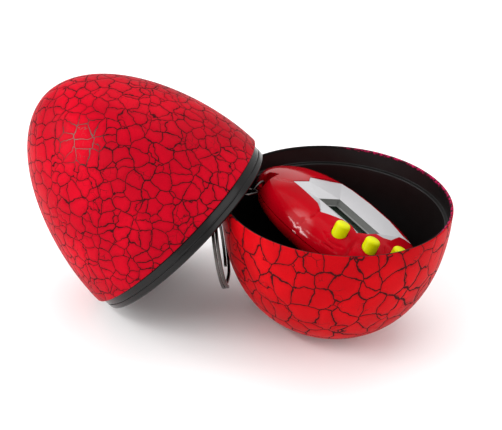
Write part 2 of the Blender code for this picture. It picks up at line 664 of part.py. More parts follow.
def make_link(name, start, aim, normal, steel):
    """A link whose first end bar's centre is at start and which runs along aim."""
    joint = add_empty(name + "_joint", frame_matrix(start, aim, normal))
    return wire_object(name, link_points(LINK_INNER, LINK_WIDTH, LINK_WIRE), LINK_WIRE,
                       steel, joint, True)


def ring_points():
    """Two flat turns joined by a short step from one to the other."""
    step = math.radians(24.0)
    first = step + math.radians(5.0)
    last = 4.0 * math.pi - step - math.radians(5.0)
    count = 52
    points = []
    for i in range(count + 1):
        angle = first + (last - first) * i / count
        along = (angle - (2.0 * math.pi - step)) / (2.0 * step)
        along = max(0.0, min(1.0, along))
        rise = along * along * (3.0 - 2.0 * along) - 0.5
        points.append((RING_RADIUS * math.cos(angle), RING_RADIUS * math.sin(angle),
                       RING_TURN * rise))
    return points


def make_chain(pet):
    steel = material("chain_steel", (0.55, 0.53, 0.5), 0.25, 1.0)
    hole = pet.matrix_world @ LUG_HOLE
    face = PET_FACE.normalized()
    pitch = LINK_INNER - GAP
    rim_aim = RIM_LINK_AIM.normalized()
    lap = 2 * LINK_WIRE + GAP
    rim_start = RIM_LINK_END - rim_aim * (LINK_INNER + 2 * LINK_WIRE)
    # The jump ring and two links lead from the lug to the link on the rim.
    inside_end = rim_start + rim_aim * lap
    run = inside_end - hole
    jump_length = 2.0 * JUMP_RADIUS
    aim = run.normalized()
    jump = add_empty("jump_ring_joint", frame_matrix(hole, aim, face.cross(aim)))
    points = []
    for i in range(16):
        angle = 2.0 * math.pi * (i + 0.5) / 16
        points.append((JUMP_RADIUS * (1 + math.cos(angle)), JUMP_RADIUS * math.sin(angle), 0.0))
    wire_object("jump_ring", points, LINK_WIRE, steel, jump, True)
    start = hole + aim * (jump_length - lap)
    first_aim = (inside_end - start).normalized()
    up = Vector((0.0, 0.0, 1.0))
    flat = up
    upright = first_aim.cross(up)
    make_link("chain_link_1", start, first_aim, flat, steel)
    second = start + first_aim * pitch
    make_link("chain_link_2", second, inside_end - second, upright, steel)
    make_link("chain_link_3", rim_start, rim_aim, flat, steel)
    # The last link hooks over the outer bar and hangs down.
    third = RIM_LINK_END + up * lap
    tangent = Vector((-math.sin(RING_AZIMUTH), math.cos(RING_AZIMUTH), 0.0))
    make_link("chain_link_4", third, -up, tangent, steel)
    # The split ring's top wire passes through the last link's rounded lower end.
    top = third - up * (LINK_INNER + LINK_WIRE - 2.2 * GAP - RING_WIRE)
    radial = Vector((math.cos(RING_AZIMUTH), math.sin(RING_AZIMUTH), 0.0))
    down = (-up * math.cos(RING_TILT) - radial * math.sin(RING_TILT)).normalized()
    ring = add_empty("split_ring_joint", frame_matrix(top, down, radial))
    piece = wire_object("split_ring", ring_points(), RING_WIRE, steel, ring, False)
    piece.location = (RING_RADIUS, 0.0, 0.0)


clear_scene()
MODEL = new_collection("virtual_pet_keychain")
CUTTERS = new_collection("cutters")
make_bowl()
make_ballast()
make_cap()
make_chain(make_pet())
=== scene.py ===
"""Looks for the virtual pet keychain: a pet in the open half of a red crackled egg."""

import math

import bmesh
import bpy
from mathutils import Matrix, Quaternion, Vector


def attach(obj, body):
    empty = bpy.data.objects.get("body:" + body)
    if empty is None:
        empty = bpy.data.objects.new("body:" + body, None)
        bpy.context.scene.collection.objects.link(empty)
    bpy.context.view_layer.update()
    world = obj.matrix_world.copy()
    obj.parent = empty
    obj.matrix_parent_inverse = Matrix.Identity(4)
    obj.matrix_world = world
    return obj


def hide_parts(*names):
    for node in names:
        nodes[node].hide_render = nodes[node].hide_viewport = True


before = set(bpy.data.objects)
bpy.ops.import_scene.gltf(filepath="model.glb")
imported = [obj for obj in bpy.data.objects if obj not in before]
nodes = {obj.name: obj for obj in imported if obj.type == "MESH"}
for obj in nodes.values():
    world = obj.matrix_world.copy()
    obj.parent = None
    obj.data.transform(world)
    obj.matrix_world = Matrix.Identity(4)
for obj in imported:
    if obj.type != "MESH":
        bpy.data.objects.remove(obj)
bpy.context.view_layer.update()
MM = 0.001
ORIGIN = Matrix.Identity(4)

# ---- measures of the egg and the pet, in millimetres ----------------------------
EGG_R = 33.0
RIM_Z = 41.3
BOWL_DEPTH = 41.6
BOWL_WALL = 1.9
BOWL_POWERS = (2.37, 2.25)
SEAT_Z = 35.9
MOUTH_R = 32.15
CAP_H = 52.5
CAP_WALL = 1.3
CAP_POWERS = (1.95, 1.69)
CAP_AZIMUTH = math.radians(170.7)  # direction in which the cap lies from the bowl
CAP_DISTANCE = 47.3                # from the bowl's axis to the centre of the cap's edge
CAP_EDGE_Z = 26.9
CAP_LEAN = math.radians(47.57)     # from upright
COLLAR_OUTER = 31.85
COLLAR_INNER = 30.0
GAP = 0.3                          # clearance between touching pieces
PET_CENTRE = (1.24, 1.88, 29.74)
PET_LONG = (0.616, -0.770, -0.167)  # direction of the pet's long axis
PET_FACE = (0.365, 0.091, 0.926)   # direction that the screen faces
PET_HALF = (29.4, 21.6)            # half length, half width at the buttons
FAR_HALF = 18.8                    # half width on the other side
FRONT_H = 8.5
BACK_H = 8.0
PLAN = 2.3
FRONT_POWER = 2.6
BACK_POWER = 2.1
PET_WALL = 1.5
SOLID_END_X = -15.6
SCREEN = (2.9, -2.2)               # the window's centre
WINDOW = (18.0, 9.3)
FRAME_HALF = (10.7, 6.45)          # half length and half width of the screen's frame
LIP_Z = 6.2
OUTLINE = ((-13.6, -11.5), (-12.7, -6.0), (-15.2, -3.1), (-14.2, 10.9), (-10.7, 12.2),
           (-2.2, 12.4), (6.2, 12.4), (14.3, 10.6), (16.6, 11.9), (15.1, 7.2), (17.0, 1.2),
           (16.1, -1.3), (14.3, -2.9), (14.2, -6.7), (13.3, -10.1), (9.9, -9.5),
           (7.1, -10.6), (2.5, -14.5), (-1.4, -12.6))
BUTTONS = (("button_left", 11.8, -15.4), ("button_middle", 19.5, -10.4),
           ("button_right", 24.2, -3.2))
LUG_HOLE = (-20.3, -14.2)
LUG_HOLE_R = 1.2
LUG_AIM = (0.2, -0.98)             # direction in which the chain leaves the lug
LUG_HALF = 1.15                    # half the lug's thickness
LUG_END = 2.9                      # from the hole's centre to the lug's free end
POCKET = (-2.0, 9.0)               # start and end of the pocket round the lug, along LUG_AIM
BUTTON_R = 2.14
BUTTON_HOLE_R = 2.35
FLANGE_SHIFT = 1.1                 # of a button's foot towards the pet's middle
PLATE_FOOT_Z = 5.75
SCREW_HOLE_R = 1.15
SCREW_RECESS = (2.1, -3.6)         # radius and floor of the recess for a screw's head
DOOR_SEAT_Z = -5.5
DOOR = ((-13.0, -7.0), (16.3, -7.0), (16.3, 7.0), (-13.0, 7.0))
CASE_SCREWS = ((-14.5, 9.8), (-13.0, -13.0), (16.8, 9.2), (-2.5, -15.5))


def frame_matrix(origin, along, normal):
    """A frame at origin whose X runs along the second value and whose Z is nearest the third."""
    x_axis = Vector(along).normalized()
    y_axis = Vector(normal).cross(x_axis).normalized()
    z_axis = x_axis.cross(y_axis)
    turn = Matrix((x_axis, y_axis, z_axis)).transposed().to_4x4()
    return Matrix.Translation(origin) @ turn


PET = frame_matrix(Vector(PET_CENTRE) * MM, PET_LONG, PET_FACE)
OUTWARDS = Vector((math.cos(CAP_AZIMUTH), math.sin(CAP_AZIMUTH), 0.0))
CAP_PLACE = OUTWARDS * CAP_DISTANCE * MM + Vector((0, 0, CAP_EDGE_Z)) * MM
CAP = Matrix.Translation(CAP_PLACE) @ Matrix.Rotation(
    CAP_LEAN, 4, Vector((0, 0, 1)).cross(OUTWARDS))


# ---- node helpers ------------------------------------------------------------
class Graph:
    """Builds one material's nodes."""

    def __init__(self, name, roughness=0.4, metallic=0.0):
        self.material = bpy.data.materials.new(name)
        self.material.use_nodes = True
        self.tree = self.material.node_tree
        self.shader = self.tree.nodes["Principled BSDF"]
        self.shader.inputs["Roughness"].default_value = roughness
        self.shader.inputs["Metallic"].default_value = metallic

    def put(self, socket, value):
        """Link a socket to another, or set its value."""
        if isinstance(value, bpy.types.NodeSocket):
            self.tree.links.new(value, socket)
        elif value is not None:
            socket.default_value = value

    def coords(self, shift=(0.0, 0.0, 0.0), stretch=(1.0, 1.0, 1.0)):
        """Object coordinates in millimetres."""
        source = self.tree.nodes.new("ShaderNodeTexCoord")
        mapping = self.tree.nodes.new("ShaderNodeMapping")
        mapping.inputs["Location"].default_value = shift
        mapping.inputs["Scale"].default_value = [1000.0 * s for s in stretch]
        self.tree.links.new(source.outputs["Object"], mapping.inputs["Vector"])
        return mapping.outputs["Vector"]

    def math(self, operation, a, b=None):
        node = self.tree.nodes.new("ShaderNodeMath")
        node.operation = operation
        for socket, value in zip(node.inputs, (a, b)):
            self.put(socket, value)
        return node.outputs[0]

    def vector(self, operation, a, b=None, scale=None):
        node = self.tree.nodes.new("ShaderNodeVectorMath")
        node.operation = operation
        self.put(node.inputs[0], a)
        if b is not None:
            self.put(node.inputs[1], b)
        if scale is not None:
            node.inputs["Scale"].default_value = scale
        number = operation in ("LENGTH", "DISTANCE", "DOT_PRODUCT")
        return node.outputs["Value" if number else "Vector"]

    def noise(self, where, scale, detail=2.0, rough=0.5, colour=False):
        node = self.tree.nodes.new("ShaderNodeTexNoise")
        self.put(node.inputs["Vector"], where)
        node.inputs["Scale"].default_value = scale
        node.inputs["Detail"].default_value = detail
        node.inputs["Roughness"].default_value = rough
        return node.outputs["Color" if colour else "Fac"]

    def cells(self, where, scale, feature, random):
        """The outputs of a Voronoi texture."""
        node = self.tree.nodes.new("ShaderNodeTexVoronoi")
        node.feature = feature
        self.put(node.inputs["Vector"], where)
        node.inputs["Scale"].default_value = scale
        node.inputs["Randomness"].default_value = random
        return node.outputs

    def seam(self, where, scale, random=1.0):
        """Distance along the surface to the nearest border between Voronoi cells."""
        places = [self.cells(where, scale, feature, random)["Position"]
                  for feature in ("F1", "F2")]
        apart = self.vector("SUBTRACT", places[1], places[0])
        middle = self.vector("SCALE", self.vector("ADD", *places), scale=0.5)
        across = self.vector("NORMALIZE", apart)
        away = self.vector("DOT_PRODUCT", self.vector("SUBTRACT", middle, where), across)
        facing = self.tree.nodes.new("ShaderNodeTexCoord").outputs["Normal"]
        slope = self.vector("LENGTH", self.vector("CROSS_PRODUCT", across, facing))
        return self.math("DIVIDE", self.math("ABSOLUTE", away),
                         self.math("MAXIMUM", slope, 0.12))

    def band(self, value, low, high, out_low=0.0, out_high=1.0):
        """A smooth step from out_low to out_high as value goes from low to high."""
        node = self.tree.nodes.new("ShaderNodeMapRange")
        node.interpolation_type = "SMOOTHSTEP"
        for socket, item in zip(node.inputs, (value, low, high, out_low, out_high)):
            self.put(socket, item)
        return node.outputs["Result"]

    def mix(self, factor, a, b):
        node = self.tree.nodes.new("ShaderNodeMix")
        node.data_type = "RGBA"
        self.put(node.inputs[0], factor)
        for socket, value in ((node.inputs[6], a), (node.inputs[7], b)):
            if isinstance(value, (tuple, list)):
                value = (*value[:3], 1.0)
            self.put(socket, value)
        return node.outputs[2]

    def bump(self, height, depth, strength):
        """depth is the height in metres of a rise of 1."""
        node = self.tree.nodes.new("ShaderNodeBump")
        node.inputs["Strength"].default_value = strength
        node.inputs["Distance"].default_value = depth
        self.put(node.inputs["Height"], height)
        return node.outputs["Normal"]

    def set(self, **sockets):
        """Set the shader's sockets, with _ for a space in a name, and give the material."""
        for name, value in sockets.items():
            socket = self.shader.inputs[name.replace("_", " ")]
            if isinstance(value, (tuple, list)):
                value = (*value[:3], 1.0)
            self.put(socket, value)
        return self.material

    def split(self, vector):
        node = self.tree.nodes.new("ShaderNodeSeparateXYZ")
        self.put(node.inputs[0], vector)
        return node.outputs


# ---- materials ---------------------------------------------------------------
def crackle(name, cell, width, shift, stretch, colours, pale=None):
    """Red paint that has crazed over black: cell and width in millimetres."""
    g = Graph(name)
    place = g.coords(shift, stretch)
    # cells with wavy borders: large ones, and finer cracks across some of them
    slow = g.vector("SUBTRACT", g.noise(place, 0.16, 2.0, colour=True), (0.5, 0.5, 0.5))
    fast = g.vector("SUBTRACT", g.noise(place, 0.75, 3.0, 0.6, colour=True), (0.5, 0.5, 0.5))
    bent = g.vector("ADD", place, g.vector("SCALE", slow, scale=4.0))
    bent = g.vector("ADD", bent, g.vector("SCALE", fast, scale=0.8))
    first = g.seam(bent, 1.0 / cell, 0.82)
    second = g.seam(bent, 1.9 / cell)
    vary = g.band(g.noise(place, 0.11, 3.0), 0.3, 0.7, 0.65, 1.3)
    wide = g.math("MULTIPLY", vary, width)
    line = g.band(first, g.math("MULTIPLY", wide, 0.5), g.math("MULTIPLY", wide, 1.35), 1.0, 0.0)
    some = g.band(g.noise(g.vector("ADD", place, (31.0, 7.0, 19.0)), 0.13, 2.0), 0.56, 0.7)
    thin = g.math("MULTIPLY", g.math("MULTIPLY", wide, some), 0.62)
    fine = g.band(second, g.math("MULTIPLY", thin, 0.35), g.math("ADD", thin, 0.004), 1.0, 0.0)
    crack = g.math("MAXIMUM", line, g.math("MULTIPLY", fine, 0.8))
    # the paint: uneven, specked, and darker towards the cracks
    dark, deep, bright = colours
    tone = g.mix(g.band(g.noise(place, 0.06, 2.0), 0.35, 0.68), deep, bright)
    speck = g.band(g.noise(place, 3.2, 2.0, 0.7), 0.35, 0.7)
    tone = g.mix(g.math("MULTIPLY", speck, 0.16), tone, [c * 0.62 for c in deep])
    lip = g.band(first, 0.0, 1.1, 0.34, 0.0)
    tone = g.mix(lip, tone, [c * 0.5 for c in deep])
    crack_colour = dark
    if pale is not None:
        centre, reach, colour = pale
        away = g.vector("DISTANCE", g.coords(), centre)
        near = g.band(away, reach * 0.3, reach, 0.5, 0.0)
        crack_colour = g.mix(near, dark, colour)
    tone = g.mix(crack, tone, crack_colour)
    # each flake stands proud of the cracks
    body = g.band(first, 0.0, 1.3)
    grain = g.noise(place, 5.0, 2.0)
    height = g.math("ADD", g.math("MULTIPLY", body, 0.7), g.math("MULTIPLY", grain, 0.10))
    height = g.math("SUBTRACT", height, g.math("MULTIPLY", crack, 0.5))
    rough = g.math("ADD", g.math("MULTIPLY", g.noise(place, 0.9, 3.0), 0.16), 0.34)
    return g.set(Base_Color=tone, Roughness=g.math("MAXIMUM", rough, g.math(
        "MULTIPLY", crack, 0.6)), Normal=g.bump(height, 0.00011, 0.75),
        Specular_IOR_Level=0.03)


def black_plastic(name, roughness, specular, overspray=False):
    g = Graph(name)
    place = g.coords()
    colour = g.mix(g.noise(place, 0.25, 3.0), (0.0028, 0.0024, 0.0024), (0.0062, 0.0052, 0.0052))
    if overspray:
        parts = g.split(place)
        specular = g.band(parts[2], 40.5, 41.1, specular, 0.05)
        high = g.band(parts[2], 39.6, 41.3)
        side = g.band(g.math("ADD", parts[0], g.math("MULTIPLY", parts[1], 0.45)), 4.0, 24.0)
        dots = g.math("ADD", g.math("MULTIPLY", g.noise(place, 0.75, 4.0, 0.75), 0.7),
                      g.math("MULTIPLY", g.noise(place, 3.5, 2.0), 0.3))
        mist = g.math("ADD", dots, g.math("MULTIPLY", g.math("MULTIPLY", high, side), 0.25))
        colour = g.mix(g.band(mist, 0.70, 0.80), colour, (0.42, 0.004, 0.07))
    scuff = g.noise(g.coords(stretch=(1.0, 1.0, 5.0)), 0.5, 4.0, 0.6)
    rough = g.math("ADD", g.math("MULTIPLY", scuff, 0.14), roughness)
    return g.set(Base_Color=colour, Roughness=rough, Specular_IOR_Level=specular,
                 Normal=g.bump(g.noise(place, 1.6, 3.0), 0.00003, 0.5))


def pet_gloss(name, colour, dark):
    g = Graph(name, 0.12)
    place = g.coords()
    tone = g.mix(g.band(g.noise(place, 0.09, 2.0), 0.3, 0.7), dark, colour)
    rough = g.math("ADD", g.math("MULTIPLY", g.noise(place, 0.8, 3.0), 0.08), 0.09)
    wave = g.noise(place, 0.28, 2.0)
    side = g.band(g.vector("DISTANCE", place, (-12.5, -13.0, 38.0)), 3.5, 6.5, 0.42, 0.0)
    end = g.band(g.vector("DISTANCE", place, (-17.0, 12.0, 42.0)), 5.0, 11.0, 0.28, 0.0)
    shine = g.math("ADD", g.math("MAXIMUM", side, end), 0.03)
    return g.set(Base_Color=tone, Roughness=rough, Specular_IOR_Level=shine,
                 Normal=g.bump(wave, 0.00003, 0.5))


def plastic(name, colour, roughness, variation=0.12, specular=0.5):
    g = Graph(name, roughness)
    place = g.coords()
    darker = [c * (1.0 - variation) for c in colour]
    tone = g.mix(g.noise(place, 0.5, 4.0, 0.6), darker, colour)
    rough = g.math("ADD", g.math("MULTIPLY", g.noise(place, 1.3, 3.0), 0.12), roughness - 0.06)
    return g.set(Base_Color=tone, Roughness=rough, Specular_IOR_Level=specular,
                 Normal=g.bump(g.noise(place, 4.0, 2.0), 0.00002, 0.6))


def metal(name, colour, roughness, brushed=(1.0, 1.0, 8.0)):
    g = Graph(name, roughness, 1.0)
    place = g.coords(stretch=brushed)
    streak = g.noise(place, 0.9, 4.0, 0.65)
    tone = g.mix(streak, [c * 0.72 for c in colour], colour)
    tone = g.mix(g.band(g.noise(g.coords(), 0.6, 3.0), 0.55, 0.75, 0.0, 0.35), tone,
                 (0.16, 0.10, 0.07))
    rough = g.math("ADD", g.math("MULTIPLY", streak, 0.22), roughness - 0.08)
    return g.set(Base_Color=tone, Roughness=rough, Normal=g.bump(streak, 0.00002, 0.4))


def lcd_glass(name):
    g = Graph(name, 0.3)
    turned_to_pet = g.tree.nodes.new("ShaderNodeMapping")
    turned_to_pet.vector_type = "POINT"
    inverse = PET.inverted()
    turned_to_pet.inputs["Rotation"].default_value = inverse.to_euler()
    turned_to_pet.inputs["Location"].default_value = inverse.translation * 1000.0
    g.tree.links.new(g.coords(), turned_to_pet.inputs["Vector"])
    parts = g.split(turned_to_pet.outputs["Vector"])
    across = g.math("PINGPONG", parts[0], 0.26)
    down = g.math("PINGPONG", parts[1], 0.26)
    grid = g.math("MAXIMUM", g.band(across, 0.0, 0.05, 1.0, 0.0), g.band(down, 0.0, 0.05, 1.0, 0.0))
    # painted shade: the blank screen is darker towards its lug end and lighter towards the buttons
    tone = g.mix(g.band(parts[0], -4.0, 12.0), (0.016, 0.034, 0.016), (0.030, 0.050, 0.028))
    tone = g.mix(g.math("MULTIPLY", grid, 0.12), tone, (0.05, 0.07, 0.04))
    return g.set(Base_Color=tone, Roughness=0.3, Specular_IOR_Level=0.3)


def clear_window(name):
    g = Graph(name, 0.03)
    g.shader.inputs["Alpha"].default_value = 0.16
    smear = g.noise(g.coords(), 0.7, 3.0)
    return g.set(Base_Color=(0.03, 0.045, 0.035), Roughness=g.band(smear, 0.4, 0.8, 0.04, 0.14))


def board_green(name):
    g = Graph(name, 0.35)
    tracks = g.cells(g.coords(), 0.55, "F1", 0.2)["Distance"]
    lines = g.band(g.math("PINGPONG", tracks, 0.16), 0.03, 0.06, 1.0, 0.0)
    tone = g.mix(lines, (0.012, 0.085, 0.025), (0.03, 0.16, 0.05))
    return g.set(Base_Color=tone, Normal=g.bump(lines, 0.00004, 0.6))


RED_CAP = crackle("cap_crackle", 3.9, 0.135, (3.0, 5.0, 11.0), (1.0, 1.0, 1.0),
                  ((0.034, 0.004, 0.006), (0.40, 0.0010, 0.0105), (0.53, 0.0016, 0.0135)),
                  pale=((-74.0, -12.0, 62.0), 10.5, (0.42, 0.35, 0.31)))
RED_BOWL = crackle("bowl_crackle", 5.8, 0.22, (17.0, 2.0, 29.0), (1.0, 1.0, 0.82),
                   ((0.034, 0.005, 0.006), (0.435, 0.0016, 0.0050), (0.59, 0.0028, 0.0065)))
BLACK_INSIDE = black_plastic("egg_inside_black", 0.30, 0.30, overspray=True)
BLACK_CAP = black_plastic("cap_inside_black", 0.38, 0.3)
BLACK_COLLAR = black_plastic("collar_gloss_black", 0.16, 0.26)
PET_RED = pet_gloss("pet_gloss_red", (0.41, 0.0005, 0.0062), (0.35, 0.0004, 0.0052))
PET_DARK = pet_gloss("pet_back_red", (0.42, 0.0008, 0.0055), (0.34, 0.0006, 0.0045))
WHITE = plastic("faceplate_white", (0.53, 0.525, 0.54), 0.2, 0.05)
GREY = plastic("screen_frame_grey", (0.24, 0.245, 0.235), 0.4, 0.15)
YELLOW = plastic("button_yellow", (0.63, 0.65, 0.0), 0.36, 0.06, specular=0.12)
RUBBER = plastic("keypad_rubber", (0.2, 0.2, 0.2), 0.7, 0.2)
CHIP = plastic("chip_resin", (0.010, 0.010, 0.010), 0.25, 0.3)
BOARD = board_green("board_green")
LCD = lcd_glass("lcd_dark_green")
WINDOW_CLEAR = clear_window("window_clear")
CHAIN = metal("chain_plated", (0.11, 0.10, 0.095), 0.2)
SCREW = metal("screw_zinc", (0.55, 0.55, 0.53), 0.3)
CELL = metal("cell_steel", (0.66, 0.66, 0.64), 0.3, (6.0, 1.0, 1.0))
CONTACT = metal("contact_nickel", (0.66, 0.6, 0.5), 0.32)
BRASS = metal("buzzer_brass", (0.62, 0.42, 0.15), 0.35)
WEIGHT = metal("ballast_iron", (0.3, 0.3, 0.3), 0.5)
COVER = plastic("ballast_cover_black", (0.012, 0.012, 0.012), 0.4, 0.3)


# ---- mesh helpers ------------------------------------------------------------
def place_mesh(name, bm, materials, body, replaced=(), sharp=None):
    """Show a mesh on a body; edges over the angle sharp, in degrees, stay sharp."""
    bmesh.ops.recalc_face_normals(bm, faces=bm.faces)
    mesh = bpy.data.meshes.new(name)
    bm.to_mesh(mesh)
    bm.free()
    for item in materials:
        mesh.materials.append(item)
    mesh.shade_smooth()
    if sharp is not None:
        mesh.set_sharp_from_angle(angle=math.radians(sharp))
    piece = bpy.data.objects.new(name, mesh)
    bpy.context.scene.collection.objects.link(piece)
    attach(piece, body)
    if replaced:
        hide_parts(*replaced)
    return piece


def sweep_profile(bm, profile, steps, matrix, paint=None):
    """Sweep (radius, z) points round Z; paint gives each band's material number."""
    rings = []
    for radius, z in profile:
        if radius < 1e-6:
            rings.append([bm.verts.new(matrix @ Vector((0.0, 0.0, z * MM)))])
            continue
        ring = []
        for i in range(steps):
            angle = 2.0 * math.pi * i / steps
            point = Vector((radius * math.cos(angle), radius * math.sin(angle), z)) * MM
            ring.append(bm.verts.new(matrix @ point))
        rings.append(ring)
    for k in range(len(rings) - 1):
        a, b = rings[k], rings[k + 1]
        for i in range(steps):
            j = (i + 1) % steps
            if len(a) == 1:
                corners = (a[0], b[j], b[i])
            elif len(b) == 1:
                corners = (a[i], a[j], b[0])
            else:
                corners = (a[i], a[j], b[j], b[i])
            face = bm.faces.new(corners)
            face.material_index = paint[k] if paint else 0


def arc(centre, radius, start, end, count):
    """Points of a circle's arc between two angles in degrees."""
    points = []
    for i in range(count + 1):
        angle = math.radians(start + (end - start) * i / count)
        points.append((centre[0] + radius * math.cos(angle),
                       centre[1] + radius * math.sin(angle)))
    return points


def oval(radius, depth, powers, start, end, count):
    """Points of a squared oval, from 0 degrees at its rim to 90 at its tip."""
    points = []
    for i in range(count + 1):
        angle = math.radians(start + (end - start) * i / count)
        points.append((radius * max(0.0, math.cos(angle)) ** (2.0 / powers[0]),
                       depth * max(0.0, math.sin(angle)) ** (2.0 / powers[1])))
    return points


# ---- the egg -----------------------------------------------------------------
def build_bowl():
    inner_r, inner_d = EGG_R - BOWL_WALL, BOWL_DEPTH - BOWL_WALL
    inside = [(r, RIM_Z - d) for r, d in oval(inner_r, inner_d, BOWL_POWERS, 90.0, 3.0, 60)]
    inside = [p for p in inside if p[1] < SEAT_Z - 0.45]
    inside[0] = (0.0, inside[0][1])
    seat_r = inner_r * (1 - ((RIM_Z - SEAT_Z) / inner_d) ** BOWL_POWERS[1]) ** (
        1 / BOWL_POWERS[0])
    step = arc((seat_r + 0.35, SEAT_Z - 0.35), 0.35, 180.0, 90.0, 5)
    corner = arc((MOUTH_R - 0.2, SEAT_Z + 0.2), 0.2, -90.0, 0.0, 3)
    lip = arc((MOUTH_R + 0.36, RIM_Z - 0.42), 0.36, 180.0, 90.0, 6)
    edge = arc((EGG_R - 0.36, RIM_Z - 0.36), 0.36, 90.0, 0.0, 6)
    outside = [(r, RIM_Z - d) for r, d in oval(EGG_R, BOWL_DEPTH, BOWL_POWERS, 4.5, 80.0, 64)
               if 0.5 < d < RIM_Z - 0.02]
    flat = EGG_R * (1 - (RIM_Z / BOWL_DEPTH) ** BOWL_POWERS[1]) ** (1 / BOWL_POWERS[0])
    profile = inside + step + corner + lip + edge + outside + [(flat, 0.0), (0.0, 0.0)]
    split = len(inside) + len(step) + len(corner) + len(lip) + 1
    paint = [0 if k >= split else 1 for k in range(len(profile) - 1)]
    bm = bmesh.new()
    sweep_profile(bm, profile, 192, ORIGIN, paint)
    place_mesh("bowl_shell", bm, [RED_BOWL, BLACK_INSIDE], "bowl", ["egg_bowl"])


def build_cap():
    outside = oval(EGG_R, CAP_H, CAP_POWERS, 90.0, 1.2, 90)
    outside[0] = (0.0, CAP_H)
    edge = arc((EGG_R - 0.3, 0.3), 0.3, 0.0, -90.0, 4)
    inner_r, inner_h = EGG_R - CAP_WALL, CAP_H - CAP_WALL
    lower = arc((inner_r + 0.2, 0.2), 0.2, -90.0, -180.0, 3)
    inside = oval(inner_r, inner_h, CAP_POWERS, 0.8, 90.0, 60)
    inside[-1] = (0.0, inner_h)
    outside = [p for p in outside if p[1] > 0.32]
    profile = outside + edge + lower + [p for p in inside if p[1] > 0.25]
    split = len(outside) + len(edge)
    paint = [0 if k < split else 1 for k in range(len(profile) - 1)]
    bm = bmesh.new()
    sweep_profile(bm, profile, 192, CAP, paint)
    place_mesh("cap_shell", bm, [RED_CAP, BLACK_CAP], "cap", ["egg_cap"])


def build_collar():
    outer, inner, held = COLLAR_OUTER, COLLAR_INNER, EGG_R - CAP_WALL - GAP
    profile = [(held - 0.6, 6.0), (held - 0.2, 5.2), (held, 4.6), (held, -0.2),
               (outer - 0.15, -0.32)]
    profile += arc((outer - 0.12, -0.45), 0.12, 90.0, 0.0, 3)
    profile += [(outer, -1.0), (outer, -1.9)]
    profile += arc((outer - 0.1, -2.2), 0.1, 0.0, -90.0, 3)
    profile += [(outer - 0.3, -2.34), (outer - 0.34, -2.5), (outer - 0.3, -2.66)]
    profile += arc((outer - 0.12, -2.8), 0.12, 90.0, 0.0, 3)
    profile += [(outer, -3.1), (outer - 0.04, -3.5)]
    profile += arc((outer - 0.75, -3.9), 0.7, 0.0, -90.0, 8)
    profile += arc((inner + 0.35, -4.25), 0.35, -90.0, -180.0, 4)
    profile += [(inner, -3.0), (inner - 0.05, 2.0), (inner - 0.1, 5.7), (inner + 0.2, 6.0)]
    profile.append(profile[0])
    bm = bmesh.new()
    sweep_profile(bm, profile, 192, CAP)
    bmesh.ops.remove_doubles(bm, verts=bm.verts, dist=1e-7)
    place_mesh("collar_ring", bm, [BLACK_COLLAR], "cap", ["cap_collar"], 50)


# ---- the pet -----------------------------------------------------------------
def power(value, exponent):
    """A power that keeps the value's sign."""
    return math.copysign(abs(value) ** exponent, value)


def smooth(t):
    """A smooth step from 0 to 1."""
    t = max(0.0, min(1.0, t))
    return t * t * (3.0 - 2.0 * t)


def to_segment(p, a, b):
    """Distance from a point to the straight line between two others."""
    ab = b - a
    t = max(0.0, min(1.0, (p - a).dot(ab) / max(1e-9, ab.dot(ab))))
    return (p - a - ab * t).length


CREASES = (   # (depth, half width, points) in the pet's own millimetres
    (0.42, 0.62, ((1.7, -14.0, 7.3), (3.0, -18.1, 5.8), (2.4, -20.8, 3.4), (2.4, -21.6, 0.4))),
    (0.34, 0.55, ((9.6, -18.6, 4.9), (11.4, -19.0, 4.2), (13.6, -18.6, 3.9), (16.0, -17.3, 4.3))),
    (0.30, 0.5, ((11.8, -19.9, 2.9), (14.9, -18.9, 2.9))),
    (0.30, 0.6, ((-13.8, -12.4, 6.9), (-16.1, -14.3, 6.0), (-17.9, -14.5, 5.5))),
    (0.38, 0.8, ((15.6, -11.2, 6.9), (17.3, -14.7, 5.5), (18.7, -16.8, 3.4))),
    (0.38, 0.8, ((20.1, -4.2, 7.0), (24.8, -7.1, 5.2), (27.0, -8.7, 2.9))),
)


def relief(p):
    """How far the front shell's surface stands off the plain oval, along its normal."""
    rise = 0.0
    flat = Vector((p.x, p.y))
    for _, x, y in BUTTONS:
        centre = Vector((x, y))
        away = centre.normalized()
        near = to_segment(flat, centre - away * 1.6, centre + away * 7.0)
        rise = max(rise, 0.3 * smooth(1.0 - (near - 2.0) / 3.4))
    rise *= smooth(p.z / 2.5)
    for depth, half, points in CREASES:
        points = [Vector(q) for q in points]
        near = min(to_segment(p, a, b) for a, b in zip(points, points[1:]))
        rise -= depth * smooth(1.0 - near / half)
    return rise


def oval_point(angle, lift, half, height, exponent):
    """A point of the pet's rounded surface: lift runs from 0 at the seam to 90 on top."""
    spread = math.cos(math.radians(lift)) ** (2.0 / exponent)
    z = height * math.sin(math.radians(lift)) ** (2.0 / exponent)
    x = half[0] * spread * power(math.cos(angle), 2.0 / PLAN)
    wide = half[1] - (PET_HALF[1] - FAR_HALF if math.sin(angle) > 0.0 else 0.0)
    y = wide * spread * power(math.sin(angle), 2.0 / PLAN)
    return Vector((x, y, z))


def surface_normal(p, half, height, exponent):
    """Outward normal of the rounded surface, from its implicit form."""
    wide = half[1] - (PET_HALF[1] - FAR_HALF if p.y > 0.0 else 0.0)
    ax, ay = abs(p.x) / half[0], abs(p.y) / wide
    rho = max(1e-6, (ax ** PLAN + ay ** PLAN)) ** (1.0 / PLAN)
    lead = rho ** (exponent - PLAN)
    normal = Vector((lead * ax ** (PLAN - 1) / half[0] * (1 if p.x >= 0 else -1),
                     lead * ay ** (PLAN - 1) / wide * (1 if p.y >= 0 else -1),
                     (abs(p.z) / height) ** (exponent - 1) / height))
    return normal.normalized() if normal.length > 1e-9 else Vector((0, 0, 1))


